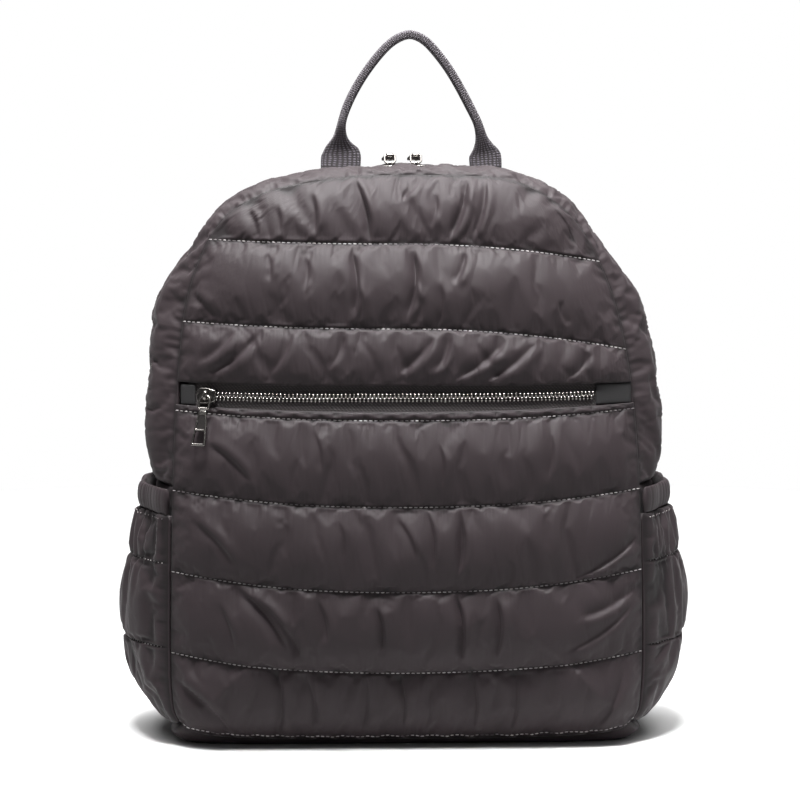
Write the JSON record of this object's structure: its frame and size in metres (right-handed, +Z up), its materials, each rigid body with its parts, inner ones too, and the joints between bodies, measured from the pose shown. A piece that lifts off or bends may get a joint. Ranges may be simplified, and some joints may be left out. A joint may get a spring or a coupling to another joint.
{
  "type": "quilted backpack",
  "caption": "Upright quilted backpack with a rounded top, zipped front pocket, gathered side pockets, webbing carry handle and padded shoulder straps.",
  "frame": {"origin": "centre of the base's flat underside, on the surface that the bag stands on", "axes": "+X to the right in the front view, +Y from the front towards the back panel and straps, +Z up"},
  "size_m": [0.3811, 0.2046, 0.4695],
  "materials": {
    "quilted_nylon": "satin-faced padded nylon, dark warm grey, light grey stitching",
    "cotton_webbing": "dark grey woven webbing, dull",
    "zip_tape": "near-black woven zip tape",
    "coated_tab": "smooth near-black coated cloth",
    "zip_teeth": "bright gunmetal teeth",
    "zip_hardware": "polished gunmetal",
    "moulded_plastic": "near-black moulded"
  },
  "bodies": {
    "bag": {"front_upper_panel": "quilted_nylon", "front_pocket_panel": "quilted_nylon", "front_gusset": "quilted_nylon", "rear_gusset": "quilted_nylon", "back_panel": "quilted_nylon", "side_panel_left": "quilted_nylon", "side_panel_right": "quilted_nylon", "base_panel": "quilted_nylon", "side_pocket_left": "quilted_nylon", "side_pocket_right": "quilted_nylon", "pocket_hem_left": "quilted_nylon", "pocket_hem_right": "quilted_nylon", "shoulder_strap_left": "quilted_nylon", "shoulder_strap_right": "quilted_nylon", "strap_tab_left": "quilted_nylon", "strap_tab_right": "quilted_nylon", "carry_handle": "cotton_webbing", "strap_webbing_left": "cotton_webbing", "strap_webbing_right": "cotton_webbing", "pocket_zip_tape": "zip_tape", "main_zip_tape": "zip_tape", "pocket_zip_tab_left": "coated_tab", "pocket_zip_tab_right": "coated_tab", "pocket_zip_chain": "zip_teeth", "main_zip_chain": "zip_teeth", "pocket_zip_slider": "zip_hardware", "main_zip_slider_left": "zip_hardware", "main_zip_slider_right": "zip_hardware", "main_zip_link_left": "zip_hardware", "main_zip_link_right": "zip_hardware", "main_zip_puller_left": "zip_hardware", "main_zip_puller_right": "zip_hardware", "strap_adjuster_left": "moulded_plastic", "strap_adjuster_right": "moulded_plastic"},
    "pocket_pull": {"pocket_zip_link": "zip_hardware", "pocket_zip_puller": "zip_hardware"}
  },
  "joints": [
    {"name": "pocket_pull_swing", "type": "hinge", "parent": "bag", "child": "pocket_pull", "pos_m": [-0.13062, -0.05835, 0.231], "axis": [-0.9395, 0.3425, 0], "range_deg": [0, 150]}
  ]
}
